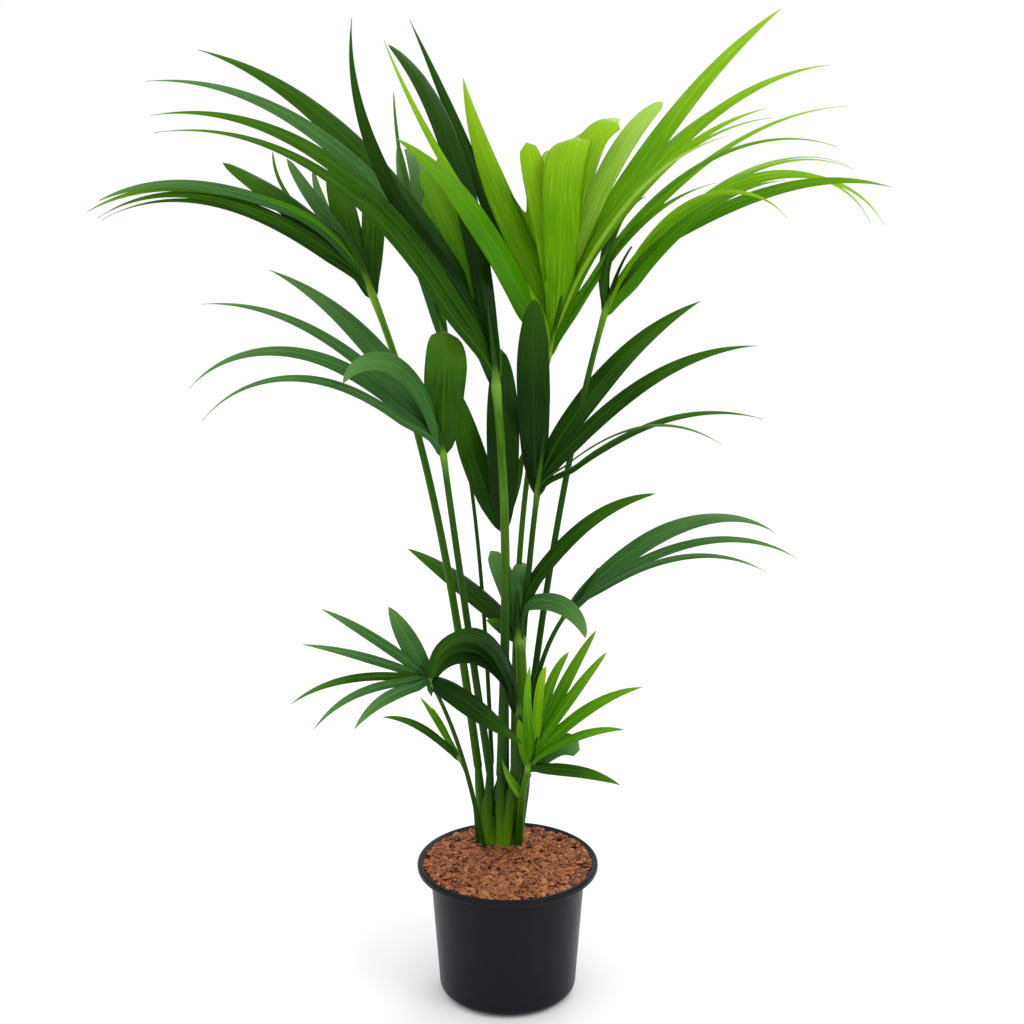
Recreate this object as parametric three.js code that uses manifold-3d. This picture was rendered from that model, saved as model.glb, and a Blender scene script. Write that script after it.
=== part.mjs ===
// A potted kentia palm: a nursery pot full of potting mix, three clumped stems and fourteen fronds.
// Millimetres, +Z up, front towards -Y. The origin is the middle of the pot's flat underside.

import * as THREE from "three";
import { mergeVertices } from "three/addons/utils/BufferGeometryUtils.js";
import Module from "manifold-3d";

const wasm = await Module();
wasm.setup();

const rimRadius = 135;
const potHeight = 209;
const lipDrop = 11;
const lipFoot = potHeight - lipDrop;
const shoulderRadius = 115.5;
const baseRadius = 103;
const undersideRadius = 90;
const wall = 2.6;
const floorThickness = 4;
const underCurve = 7;
const footHeight = 19;
const footCurve = 9;
const lipRoll = 4;
const lipHollow = 5;
const potSides = 32;
const drainHoles = 6;
const drainRadius = 6;
const drainCircle = 62;
const drainSides = 10;

const mixTop = 207;
const mixFlatRadius = 76;
const petioleSeat = 0.8;

const gap = 0.35;
const tidyWithin = 0.03;
const leafSides = 3;
const leafThickness = 2.6;
const leafSteps = 4;
const leafTurnPerStep = 42;
const leafTipWidth = 1.6;
const leafFootWidth = 3;
const leafRising = 0.7;
const bladeFace = [-90, 40];
const ribSides = 5;
const petioleSteps = 4;
const rachisSteps = 3;
const petioleSwell = 0.5;
const neckShare = 0.4;
const rachisTipRadius = 1.7;
const webRadius = 1.5;
const webPlace = 0.06;
const webFace = [-90, 20];
const flankClear = 2.2;
const narrowestLeaf = 12;
const leanFrom = [6.5, -2610, 1488];
const leanGrowth = 1.3;
const sheathSides = 6;
const sheathWall = 1;
const sheathHuddle = 0.6;

const green = {
  dark: "#2c5f2a",
  mid: "#3c7a34",
  bright: "#62a63a",
  lime: "#8cc63f",
  petiole: "#5f9440",
};

// A heading runs anticlockwise from +X seen from above, and a rise is measured up from level, in degrees.
// Columns of a leaflet: share of the rachis where it starts, heading, rise there, rise at its tip,
// length, greatest width, roll about its own length, how far its tip leans to the back, and the share
// of its length where it is widest. An empty row parts two groups of leaflets.
const fronds = [
  {
    name: "outer_left_frond",
    stem: "left",
    foot: [-45, 66, 333],
    petiole: { rise: [156, 82], neck: [170, 69], length: 725, thick: 12 },
    rachis: { tip: [-159, 36], length: 145 },
    colour: green.mid,
    leaflets: [
      [0.1, 88, 54, 62, 175, 34, 0, 0, 0.6],
      [0.22, 115, 39, 90, 185, 38, 0, 0, 0.6],
      [0.4, 122, 24, 75, 185, 18, 20, 60, 0.4],
      [],
      [0.5, 141, 40, 51, 175, 20, 10, 40, 0.4],
      [0.6, 151, 21, 91, 185, 8, 60, 0, 0.4],
      [0.45, 177, 38, 28, 225, 34, 0, -30, 0.4],
      [],
      [0.75, -168, 25, -26, 345, 18, 0, 0, 0.3],
      [0.85, -164, 21, -30, 350, 12, 20, 40, 0.3],
      [0.25, -158, 37, -32, 410, 18, 15, 90, 0.3],
      [0.12, -154, 38, -27, 420, 12, 30, 150, 0.3],
    ],
  },
  {
    name: "front_left_frond",
    stem: "middle",
    foot: [-10, 34, 333],
    petiole: { rise: [-76, 82], neck: [-126, 81], length: 615, thick: 14 },
    rachis: { tip: [103, 59], length: 110 },
    colour: green.dark,
    leaflets: [
      [0.0, -156, 60, -7, 615, 18, 20, -100, 0.33],
      [0.3, -167, 60, -9, 595, 25, 10, 30, 0.33],
      [],
      [0.45, -178, 60, -5, 610, 27, 0, 210, 0.33],
      [0.6, 171, 59, 13, 565, 42, 0, 300, 0.33],
      [],
      [0.8, 150, 44, 97, 470, 25, 0, -210, 0.3],
      [0.95, 128, 74, 21, 430, 32, 0, 150, 0.4],
      [0.6, 132, 65, 37, 265, 40, 0, 60, 0.5],
    ],
  },
  {
    name: "rear_left_frond",
    stem: "left",
    foot: [-24, 80, 333],
    petiole: { rise: [114, 84], neck: [160, 76], length: 640, thick: 6 },
    rachis: { tip: [119, 61], length: 155 },
    colour: green.mid,
    leaflets: [
      [0.5, 140, 70, 10, 190, 30, 0, 60, 0.4],
      [0.6, 113, 45, 76, 230, 24, 0, 110, 0.4],
      [0.7, 118, 55, 89, 275, 8, 40, 150, 0.4],
      [],
      [0.8, 100, 75, -20, 235, 30, 0, 100, 0.55],
      [0.9, 60, 70, 10, 200, 34, 0, 60, 0.6],
    ],
  },
  {
    name: "lime_frond",
    stem: "right",
    foot: [9, 74, 333],
    petiole: { rise: [-83, 87], neck: [-12, 77], length: 640, thick: 9 },
    rachis: { tip: [89, 56], length: 135 },
    colour: green.lime,
    leaflets: [
      [0.05, -138, 59, 28, 415, 40, 0, -60, 0.4],
      [0.3, -146, 51, 65, 480, 14, 0, 0, 0.4],
      [],
      [0.45, 142, 55, 75, 360, 40, 0, 60, 0.35],
      [0.45, 122, 78, 40, 250, 36, 0, -30, 0.65],
      [],
      [0.55, 95, 80, -8, 284, 46, 0, 60, 0.7],
      [0.62, 88, 82, -10, 290, 56, 0, -110, 0.7],
      [0.8, 72, 84, -10, 270, 40, 0, 60, 0.7],
      [0.95, 60, 80, 0, 262, 38, 0, -60, 0.65],
      [],
      [0.95, 72, 52, -7, 355, 28, 0, 90, 0.5],
      [0.85, 58, 50, 12, 370, 30, 0, -130, 0.5],
      [],
      [0.9, 31, 47, 15, 400, 16, 20, 130, 0.3],
      [0.75, 33, 52, 28, 535, 30, 0, 150, 0.35],
      [],
      [0.7, 19, 53, 3, 520, 22, 10, -60, 0.3],
      [0.6, 17, 55, 10, 405, 18, 20, -180, 0.3],
      [0.55, 9, 58, 4, 405, 10, 30, -90, 0.3],
      [0.5, 14, 60, 11, 345, 8, 20, -160, 0.3],
      [],
      [0.35, 10, 52, 2, 520, 14, 20, 100, 0.3],
      [0.25, 3, 59, -20, 505, 12, 30, -200, 0.3],
      [0.08, 10, 60, 11, 335, 14, 15, -120, 0.3],
    ],
  },
  {
    name: "outer_right_frond",
    stem: "right",
    foot: [23, 76, 333],
    petiole: { rise: [-36, 82], neck: [-16, 75], length: 710, thick: 10 },
    rachis: { tip: [28, 50], length: 100 },
    colour: green.mid,
    leaflets: [
      [0.02, -58, 91, 17, 130, 12, 0, -60, 0.4],
      [0.1, 29, 94, 13, 175, 16, 0, 90, 0.4],
      [],
      [0.4, 21, 45, -23, 420, 12, 20, 180, 0.3],
      [0.5, 17, 44, -24, 405, 12, 20, 60, 0.3],
      [0.55, 7, 46, -64, 430, 15, 0, 110, 0.3],
      [],
      [0.6, 0, 44, -61, 430, 12, 10, -60, 0.3],
      [0.7, -6, 33, -15, 390, 19, 0, -150, 0.3],
      [],
      [0.3, -23, 60, -49, 320, 12, 20, -170, 0.3],
      [0.05, -28, 52, 5, 330, 26, 10, -60, 0.3],
    ],
  },
  {
    name: "middle_right_frond",
    stem: "middle",
    foot: [12, 58, 333],
    petiole: { rise: [-68, 83], neck: [-44, 81], length: 445, thick: 10 },
    rachis: { tip: [97, 45], length: 225 },
    colour: green.dark,
    leaflets: [
      [0.02, 103, 82, 81, 270, 46, 0, -100, 0.55],
      [],
      [0.22, -12, 57, 27, 325, 33, 0, 170, 0.35],
      [0.12, -26, 48, 6, 390, 23, 0, 20, 0.35],
      [],
      [0.0, -37, 39, -7, 405, 13, 10, -90, 0.35],
      [0.05, -47, 39, -19, 375, 8, 30, -110, 0.35],
      [],
      [0.95, 140, 62, 57, 510, 24, 0, 60, 0.28],
    ],
  },
  {
    name: "middle_left_frond",
    stem: "left",
    foot: [-27, 44, 333],
    petiole: { rise: [-119, 76], neck: [-116, 76], length: 535, thick: 11 },
    rachis: { tip: [133, 60], length: 50 },
    colour: green.mid,
    leaflets: [
      [0.4, 80, 82, 20, 165, 58, 0, -30, 0.6],
      [],
      [0.7, 171, 54, 20, 320, 32, 0, 170, 0.33],
      [0.5, -175, 48, -4, 380, 16, 10, 80, 0.33],
      [],
      [0.3, -163, 47, -48, 400, 20, 0, -30, 0.33],
      [0.1, -152, 42, -47, 390, 12, 20, -130, 0.33],
      [],
      [0.9, -147, 67, -60, 200, 30, 0, -70, 0.4],
    ],
  },
  {
    name: "inner_frond",
    stem: "middle",
    foot: [-2, 50, 333],
    petiole: { rise: [-90, 82], neck: [-103, 82], length: 395, thick: 8 },
    rachis: { tip: [88, 78], length: 45 },
    colour: green.dark,
    leaflets: [
      [0.1, 159, 65, 81, 205, 38, 0, 20, 0.5],
      [0.5, 93, 98, 42, 245, 46, 0, 40, 0.5],
      [0.3, 55, 57, 71, 105, 16, 0, 0, 0.4],
    ],
  },
  {
    name: "lower_right_frond",
    stem: "right",
    foot: [32, 52, 333],
    petiole: { rise: [-77, 85], neck: [-6, 56], length: 265, thick: 8 },
    rachis: { tip: [-30, 59], length: 85 },
    colour: green.dark,
    leaflets: [
      [0.5, 2, 43, -36, 315, 27, 0, 130, 0.33],
      [0.4, -13, 36, -31, 340, 15, 10, -20, 0.33],
      [0.2, -25, 37, -25, 320, 12, 15, -130, 0.33],
    ],
  },
  {
    name: "lower_inner_frond",
    stem: "middle",
    foot: [12, 26, 333],
    petiole: { rise: [-34, 84], neck: [-151, 84], length: 220, thick: 18 },
    rachis: { tip: [78, 70], length: 75 },
    colour: green.mid,
    leaflets: [
      [0.05, 150, 30, -10, 60, 22, 0, 0, 0.4],
      [0.2, 138, 24, 9, 240, 30, 0, 60, 0.4],
      [0.5, 125, 60, 20, 110, 30, 0, 20, 0.55],
      [],
      [0.8, -7, 56, 9, 265, 22, 0, 80, 0.4],
      [0.9, 80, 60, 0, 60, 26, 0, 0, 0.55],
      [],
      [0.75, -42, 22, -78, 150, 30, 0, -20, 0.35],
    ],
  },
  {
    name: "lower_left_frond",
    stem: "soil",
    foot: [-36, 40, 212],
    petiole: { rise: [-115, 70], neck: [-144, 62], length: 330, thick: 7 },
    rachis: { tip: [174, 52], length: 30 },
    colour: green.mid,
    leaflets: [
      [0.6, 148, 56, 51, 105, 30, 0, 30, 0.4],
      [0.5, -177, 38, 26, 175, 16, 0, 60, 0.4],
      [0.3, -164, 24, 12, 190, 14, 0, 20, 0.4],
      [],
      [0.2, -152, 14, -30, 215, 12, 20, -30, 0.4],
      [0.1, -139, 11, -42, 210, 12, 20, -70, 0.4],
      [0.0, -125, 8, -34, 175, 19, 0, -40, 0.4],
      [],
      [0.3, -20, -29, -33, 165, 32, 0, 0, 0.4],
    ],
  },
  {
    name: "folded_frond",
    stem: "right",
    foot: [30, 30, 333],
    petiole: { rise: [-108, 70], neck: [-108, 70], length: 125, thick: 10 },
    rachis: { tip: [-106, 56], length: 80 },
    colour: green.dark,
    leaflets: [
      [0.3, -152, 74, -100, 225, 34, 0, 0, 0.45],
      [0.45, -156, 58, -112, 200, 22, 0, 30, 0.5],
      [0.6, -136, 66, -60, 215, 24, 0, -20, 0.4],
    ],
  },
  {
    name: "basal_right_frond",
    stem: "soil",
    foot: [16, 46, 212],
    petiole: { rise: [-84, 71], neck: [-50, 70], length: 153, thick: 12 },
    rachis: { tip: [11, 74], length: 55 },
    colour: green.bright,
    leaflets: [
      [0.2, -133, 73, 68, 80, 18, 0, 0, 0.4],
      [0.6, -101, 52, 130, 160, 14, 0, -30, 0.4],
      [0.95, -61, 88, 60, 125, 14, 0, -20, 0.4],
      [],
      [0.9, 53, 72, 21, 145, 16, 0, 40, 0.4],
      [0.8, 20, 64, 53, 190, 18, 0, 50, 0.4],
      [0.7, 2, 57, 50, 180, 16, 0, 0, 0.4],
      [],
      [0.5, -20, 48, 16, 210, 18, 0, 50, 0.4],
      [0.4, -40, 36, 10, 190, 14, 0, -30, 0.4],
      [0.1, -46, 15, -5, 185, 20, 0, -30, 0.4],
      [],
      [0.08, 0, 50, -30, 92, 36, 0, 0, 0.65],
    ],
  },
  {
    name: "basal_left_frond",
    stem: "soil",
    foot: [-46, 60, 212],
    petiole: { rise: [-100, 78], neck: [-158, 62], length: 155, thick: 6 },
    rachis: { tip: [-155, 65], length: 25 },
    colour: green.bright,
    leaflets: [
      [0.3, -165, 47, 3, 135, 12, 0, 0, 0.4],
      [0.8, 146, 53, 39, 90, 10, 0, 0, 0.4],
      [0.9, 117, 30, 24, 80, 8, 0, 0, 0.4],
    ],
  },
];

// Each stem is a bundle of leaf sheaths, standing on the mix round its own middle.
const stems = {
  left: { middle: [-31, 60], spread: 8 },
  middle: { middle: [-10, 53], spread: 8.5 },
  right: { middle: [9, 61], spread: 8 },
};

const point = (row) => new THREE.Vector3(...row);

function toward([heading, rise]) {
  const h = THREE.MathUtils.degToRad(heading);
  const r = THREE.MathUtils.degToRad(rise);
  return new THREE.Vector3(Math.cos(r) * Math.cos(h), Math.cos(r) * Math.sin(h), Math.sin(r));
}

// Growth starts along one direction and bends to the other, mostly near its end.
function grow(start, from, to, length, steps) {
  const fine = 4;
  const turn = new THREE.Quaternion().setFromUnitVectors(from, to);
  const path = [start.clone()];
  const at = start.clone();
  for (let i = 0; i < steps * fine; i++) {
    const bend = new THREE.Quaternion().slerp(turn, ((i + 0.5) / (steps * fine)) ** 2);
    at.addScaledVector(from.clone().applyQuaternion(bend), length / (steps * fine));
    if ((i + 1) % fine === 0) path.push(at.clone());
  }
  return path;
}

// The part of a vector that lies across a direction.
function across(vector, direction) {
  return vector.clone().addScaledVector(direction, -vector.dot(direction)).normalize();
}

function along(path, share) {
  const place = share * (path.length - 1);
  const i = Math.min(Math.floor(place), path.length - 2);
  return path[i].clone().lerp(path[i + 1], place - i);
}

function heading(path, i) {
  const before = path[Math.max(i - 1, 0)];
  const after = path[Math.min(i + 1, path.length - 1)];
  return after.clone().sub(before).normalize();
}

function solidOf(geometry) {
  geometry.deleteAttribute("normal");
  geometry.deleteAttribute("uv");
  const merged = mergeVertices(geometry, 1e-3);
  const vertProperties = Float32Array.from(merged.getAttribute("position").array);
  const triVerts = Uint32Array.from(merged.index.array);
  return new wasm.Manifold(new wasm.Mesh({ numProp: 3, vertProperties, triVerts }));
}

// A tube of any section, carried along a path: facing turns a direction of the path into the way
// that the section faces there, and the section gives half its width and half its depth.
function tube(path, sides, facing, section, level = () => false) {
  const steps = path.length - 1;
  const geometry = new THREE.CylinderGeometry(1, 1, 1, sides, steps);
  const position = geometry.getAttribute("position");
  for (let i = 0; i < position.count; i++) {
    const share = position.getY(i) + 0.5;
    const station = Math.round(share * steps);
    const tangent = level(station) ? new THREE.Vector3(0, 0, 1) : heading(path, station);
    const normal = across(facing(tangent), tangent);
    const side = tangent.clone().cross(normal);
    const { halfWidth, halfDepth, roll = 0 } = section(station / steps);
    side.applyAxisAngle(tangent, -roll);
    normal.applyAxisAngle(tangent, -roll);
    const place = path[station].clone();
    place.addScaledVector(side, position.getX(i) * halfWidth);
    place.addScaledVector(normal, position.getZ(i) * halfDepth);
    position.setXYZ(i, place.x, place.y, place.z);
  }
  return solidOf(geometry);
}

// The outline of a leaflet: narrow at the foot, and drawn out to a point, or blunt if widest near its tip.
function leafWidth(share, width, widest) {
  const falling = (leafRising * (1 - widest)) / widest;
  const swell = (share / widest) ** leafRising * ((1 - share) / (1 - widest)) ** falling;
  return Math.max(width * swell + leafFootWidth * (1 - share) ** 3, leafTipWidth);
}

// A blade bends without twisting: it faces the front where it is widest, and keeps its lean from there.
function leafBlade(path, row, spare) {
  const [, leafHeading, , , , width, roll, , widestShare] = row;
  const chord = path.at(-1).clone().sub(path[0]);
  const level = new THREE.Vector3(0, 0, 1).cross(chord).normalize();
  if (level.dot(toward([leafHeading + 90, 0])) < 0) level.negate();
  const widest = heading(path, Math.round(widestShare * (path.length - 1)));
  const front = across(toward(bladeFace), widest);
  const upper = widest.clone().cross(level);
  const lean = Math.atan2(front.dot(level), front.dot(upper));
  const facing = (tangent) => {
    const above = tangent.clone().cross(level).multiplyScalar(Math.cos(lean));
    return above.addScaledVector(level, Math.sin(lean));
  };
  return tube(path, leafSides, facing, (share) => ({
    halfWidth: (leafWidth(share, width, widestShare) / 2 + spare) / Math.sin(Math.PI / leafSides),
    halfDepth: leafThickness / 2 + spare,
    roll: THREE.MathUtils.degToRad(roll),
  }));
}

function rib(frond, spare) {
  const { petiole, rachisPath, petiolePath } = frond;
  const path = [...petiolePath, ...rachisPath.slice(1)];
  const neck = petioleSteps / (petioleSteps + rachisSteps);
  const footRadius = petiole.thick / 2 + petioleSwell;
  const neckRadius = petiole.thick * neckShare;
  return tube(path, ribSides, () => toward(bladeFace), (share) => {
    const radius =
      share < neck
        ? THREE.MathUtils.lerp(footRadius, neckRadius, share / neck)
        : THREE.MathUtils.lerp(neckRadius, rachisTipRadius, (share - neck) / (1 - neck));
    return { halfWidth: radius + spare, halfDepth: radius + spare };
  }, (station) => station === 0);
}

// A leaflet springs from the flank of its rachis and keeps clear of it. It leans to the back or the
// front along lines that spread from one point, a long way in front of the plant.
function leafPath(frond, row) {
  const [share, leafHeading, rise, tipRise, length, , , lean] = row;
  const start = along(frond.rachisPath, share);
  const from = toward([leafHeading, rise]);
  const to = toward([leafHeading, tipRise]);
  const turn = THREE.MathUtils.radToDeg(from.angleTo(to));
  const path = grow(start, from, to, length, leafSteps + Math.round(turn / leafTurnPerStep));
  const axis = frond.rachisPath.at(-1).clone().sub(frond.rachisPath[0]).normalize();
  const flank = across(from, axis);
  const radius = THREE.MathUtils.lerp(frond.petiole.thick * neckShare, rachisTipRadius, share);
  path.forEach((place, i) => {
    const outward = i / (path.length - 1);
    place.addScaledVector(flank, (radius + flankClear) * (1 - outward));
    const back = place.clone().sub(point(leanFrom)).normalize();
    place.addScaledVector(back, lean * outward ** leanGrowth);
  });
  return path;
}

// A group of leaflets, joined beside the rachis by a narrow web.
function leafletGroup(frond, rows, spare) {
  const web = [];
  let joined = null;
  for (const row of rows.filter((each) => each[5] >= narrowestLeaf)) {
    const path = leafPath(frond, row);
    const blade = leafBlade(path, row, spare);
    joined = joined ? joined.add(blade) : blade;
    web.push(path[0].clone().lerp(path[1], webPlace));
  }
  if (web.length === 1) return joined;
  const before = web[0].clone().sub(web[1]).setLength(1);
  const after = web.at(-1).clone().sub(web.at(-2)).setLength(1);
  web[0].add(before);
  web.at(-1).add(after);
  const round = { halfWidth: webRadius + spare, halfDepth: webRadius + spare };
  return joined.add(tube(web, leafSides, () => toward(webFace), () => round));
}

function limb(from, to, fromRadius, toRadius, sides) {
  return tube([from, to], sides, () => new THREE.Vector3(1, 0, 0), (share) => {
    const radius = THREE.MathUtils.lerp(fromRadius, toRadius, share);
    return { halfWidth: radius, halfDepth: radius };
  }, () => true);
}

// Sheaths run from the soil to the foot of each petiole of the stem and close round each other.
function stem(name, spare) {
  const { middle, spread } = stems[name];
  const bottom = mixTop + 2 * gap - spare;
  let bundle = null;
  for (const frond of fronds.filter((each) => each.stem === name)) {
    const top = point(frond.foot);
    const lean = new THREE.Vector2(top.x - middle[0], top.y - middle[1]);
    lean.clampLength(0, spread);
    lean.multiplyScalar(sheathHuddle);
    const base = new THREE.Vector3(middle[0] + lean.x, middle[1] + lean.y, bottom);
    top.z += spare - petioleSeat;
    const topRadius = frond.petiole.thick / 2 + sheathWall;
    const sheath = limb(base, top, spread + spare, topRadius + spare, sheathSides);
    bundle = bundle ? bundle.add(sheath) : sheath;
  }
  return bundle;
}

function turned(profile) {
  const points = profile.map(([radius, height]) => new THREE.Vector2(radius, height));
  return solidOf(new THREE.LatheGeometry(points, potSides).rotateX(Math.PI / 2));
}

function pot() {
  let body = turned([
    [0, 0],
    [undersideRadius, 0],
    [undersideRadius + underCurve, wall],
    [baseRadius - wall / 2, 3 * wall],
    [baseRadius, footHeight - wall],
    [shoulderRadius, lipFoot - wall],
    [rimRadius - underCurve, lipFoot],
    [rimRadius, potHeight - lipHollow],
    [rimRadius - lipRoll / 3, potHeight - lipRoll / 3],
    [rimRadius - lipRoll, potHeight],
    [shoulderRadius + 2 * lipRoll, potHeight - lipHollow],
    [shoulderRadius - wall, lipFoot - wall],
    [baseRadius - wall, footHeight],
    [baseRadius - wall - footCurve, floorThickness],
    [0, floorThickness],
  ]);
  for (let i = 0; i < drainHoles; i++) {
    const angle = ((i + 0.5) * 2 * Math.PI) / drainHoles;
    const hole = new THREE.CylinderGeometry(drainRadius, drainRadius, floorThickness * 3, drainSides);
    hole.rotateX(Math.PI / 2);
    hole.translate(drainCircle * Math.cos(angle), drainCircle * Math.sin(angle), 0);
    body = body.subtract(solidOf(hole));
  }
  return body;
}

function pottingMix() {
  const inside = shoulderRadius - wall - gap;
  const bottomInside = baseRadius - wall - gap;
  return turned([
    [0, floorThickness + gap],
    [bottomInside - footCurve, floorThickness + gap],
    [bottomInside, footHeight],
    [inside - 4 * gap, lipFoot - wall - 3 * gap],
    [shoulderRadius + lipRoll + 4 * gap, potHeight - lipHollow - 3 * gap],
    [mixFlatRadius, mixTop],
    [0, mixTop],
  ]);
}

const palm = new THREE.Group();
palm.name = "kentia_palm";
const placed = [];

// Where neighbours press together, the later piece is cut back to leave a hair's gap.
function place(name, build, colour, roughness) {
  const whole = build(0);
  const box = whole.boundingBox();
  let solid = whole;
  for (const other of placed) {
    const apart = [0, 1, 2].some(
      (axis) => other.box.min[axis] > box.max[axis] || other.box.max[axis] < box.min[axis],
    );
    if (!apart) solid = solid.subtract(other.roomy);
  }
  const bodies = solid.decompose().sort((a, b) => b.volume() - a.volume());
  const mesh = bodies[0].simplify(tidyWithin).getMesh();
  const roomy = build(gap);
  placed.push({ roomy, box: roomy.boundingBox() });
  const geometry = new THREE.BufferGeometry();
  geometry.setAttribute("position", new THREE.BufferAttribute(mesh.vertProperties, 3));
  geometry.setIndex(new THREE.BufferAttribute(mesh.triVerts, 1));
  geometry.computeVertexNormals();
  const material = new THREE.MeshStandardMaterial({ color: colour, roughness, metalness: 0 });
  const piece = new THREE.Mesh(geometry, material);
  piece.name = name;
  palm.add(piece);
}

for (const frond of fronds) {
  const { petiole, rachis } = frond;
  const rise = toward(petiole.rise);
  const neck = toward(petiole.neck);
  frond.petiolePath = grow(point(frond.foot), rise, neck, petiole.length, petioleSteps);
  const start = frond.petiolePath.at(-1);
  frond.rachisPath = grow(start, neck, toward(rachis.tip), rachis.length, rachisSteps);
}

place("pot", pot, "#2b2a2f", 0.55);
for (const name of Object.keys(stems)) {
  place(name + "_stem", (spare) => stem(name, spare), green.bright, 0.5);
}
place("potting_mix", pottingMix, "#8a5038", 0.95);
for (const frond of fronds) {
  place(frond.name + "_rib", (spare) => rib(frond, spare), green.petiole, 0.5);
}
for (const frond of fronds) {
  const groups = [[]];
  for (const row of frond.leaflets) {
    if (row.length) groups.at(-1).push(row);
    else groups.push([]);
  }
  groups.forEach((rows, i) => {
    const name = frond.name + "_leaflets_" + (i + 1);
    place(name, (spare) => leafletGroup(frond, rows, spare), frond.colour, 0.5);
  });
}

export default palm;
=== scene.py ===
# A potted kentia palm: a moulded nursery pot, bark mix, three sheathed stems and fourteen fronds.
# Metres, +Z up, front towards -Y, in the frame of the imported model.
import math
import random

import bmesh
import bpy
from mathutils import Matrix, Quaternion, Vector, noise


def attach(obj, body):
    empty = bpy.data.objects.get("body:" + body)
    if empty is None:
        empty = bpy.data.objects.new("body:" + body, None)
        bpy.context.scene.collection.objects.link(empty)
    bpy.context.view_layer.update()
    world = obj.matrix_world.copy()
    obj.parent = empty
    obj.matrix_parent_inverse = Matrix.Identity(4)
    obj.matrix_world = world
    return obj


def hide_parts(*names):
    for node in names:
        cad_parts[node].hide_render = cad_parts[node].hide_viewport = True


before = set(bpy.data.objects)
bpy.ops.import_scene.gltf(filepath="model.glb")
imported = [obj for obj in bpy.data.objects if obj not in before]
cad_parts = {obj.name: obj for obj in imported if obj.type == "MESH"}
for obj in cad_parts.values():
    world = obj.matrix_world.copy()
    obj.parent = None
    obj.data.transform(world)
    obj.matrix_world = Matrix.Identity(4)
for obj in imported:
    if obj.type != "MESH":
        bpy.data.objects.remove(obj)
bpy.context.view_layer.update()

mm = 0.001
up = Vector((0, 0, 1))
dice = random.Random(11)
viewer = Vector((6.5, -2610, 1488)) * mm  # the camera stands here, and leans are away from it

# ---- small helpers


def linear(hexColour):
    shares = [int(hexColour[i : i + 2], 16) / 255 for i in (1, 3, 5)]
    return [c / 12.92 if c <= 0.04045 else ((c + 0.055) / 1.055) ** 2.4 for c in shares] + [1]


def mix(a, b, share):
    return a + (b - a) * share


def clamp(share):
    return max(0, min(1, share))


# adds one node: settings go to its properties or its sockets, and links join its sockets to others
def addNode(tree, kind, settings=None, links=None):
    node = tree.nodes.new(kind)
    for name, value in (settings or {}).items():
        if isinstance(name, str) and hasattr(node, name):
            setattr(node, name, value)
        else:
            node.inputs[name].default_value = value
    for name, source in (links or {}).items():
        tree.links.new(source, node.inputs[name])
    return node


def newMaterial(name):
    material = bpy.data.materials.new(name)
    material.use_nodes = True
    material.node_tree.nodes.clear()
    return material, material.node_tree


def meshFrom(name, bm, materials=()):
    mesh = bpy.data.meshes.new(name)
    bm.to_mesh(mesh)
    bm.free()
    for material in materials:
        mesh.materials.append(material)
    return mesh


def addObject(name, data):
    thing = bpy.data.objects.new(name, data)
    bpy.context.scene.collection.objects.link(thing)
    return thing


# a piece of the plant or its pot, in place of the nodes named
def newPiece(name, bm, materials, nodes, smooth=True):
    for face in bm.faces:
        face.smooth = smooth
    piece = addObject(name, meshFrom(name, bm, materials))
    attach(piece, "root")
    if nodes:
        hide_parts(*nodes)
    return piece


# gives a surface a thickness in millimetres: offset 0 lays it on both sides, and -1 on the inside
def thicken(piece, thickness, offset):
    shell = piece.modifiers.new("thickness", "SOLIDIFY")
    shell.thickness = thickness * mm
    shell.offset = offset


def toward(heading, rise):
    h, r = math.radians(heading), math.radians(rise)
    return Vector((math.cos(r) * math.cos(h), math.cos(r) * math.sin(h), math.sin(r)))


def across(vector, direction):
    return (vector - direction * vector.dot(direction)).normalized()


# growth starts along one direction and bends to the other, mostly near its end
def grow(start, first, last, length, steps):
    fine = 4
    turn = first.rotation_difference(last)
    path = [start.copy()]
    at = start.copy()
    for i in range(steps * fine):
        bend = Quaternion().slerp(turn, ((i + 0.5) / (steps * fine)) ** 2)
        at = at + (bend @ first) * (length / (steps * fine))
        if (i + 1) % fine == 0:
            path.append(at.copy())
    return path


def along(path, share):
    place = share * (len(path) - 1)
    i = min(int(place), len(path) - 2)
    return path[i].lerp(path[i + 1], place - i)


def heading(path, i):
    return (path[min(i + 1, len(path) - 1)] - path[max(i - 1, 0)]).normalized()


# ---- materials

millimetre = 0.01  # a leaf's or stalk's own map runs in decimetres, so this is one millimetre on it


# carries a value from one range to another, and holds it at both ends
def ramp(tree, source, span, values):
    settings = {"From Min": span[0], "From Max": span[1], "To Min": values[0], "To Max": values[1]}
    return addNode(tree, "ShaderNodeMapRange", settings, {"Value": source}).outputs["Result"]


# goes over from one colour to another by a share; the first may come from another node
def blend(tree, share, under, over):
    settings = {"data_type": "RGBA", 7: linear(over)}
    links = {0: share}
    if isinstance(under, str):
        settings[6] = linear(under)
    else:
        links[6] = under
    return addNode(tree, "ShaderNodeMix", settings, links).outputs[2]


# a cloudy pattern with patches of about one size
def clouds(tree, vector, size, detail=2, roughness=0.5):
    settings = {"Scale": 1 / size, "Detail": detail, "Roughness": roughness}
    return addNode(tree, "ShaderNodeTexNoise", settings, {"Vector": vector}).outputs["Fac"]


# draws a pattern out along the leaf or stalk
def lengthwise(tree, vector, stretch):
    return addNode(tree, "ShaderNodeMapping", {"Scale": (1, stretch, 1)}, {"Vector": vector}).outputs[0]


# raises the surface where a value is high, by a depth in millimetres
def relief(tree, height, strength, depth):
    settings = {"Strength": strength, "Distance": depth * mm}
    return addNode(tree, "ShaderNodeBump", settings, {"Height": height}).outputs["Normal"]


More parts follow.
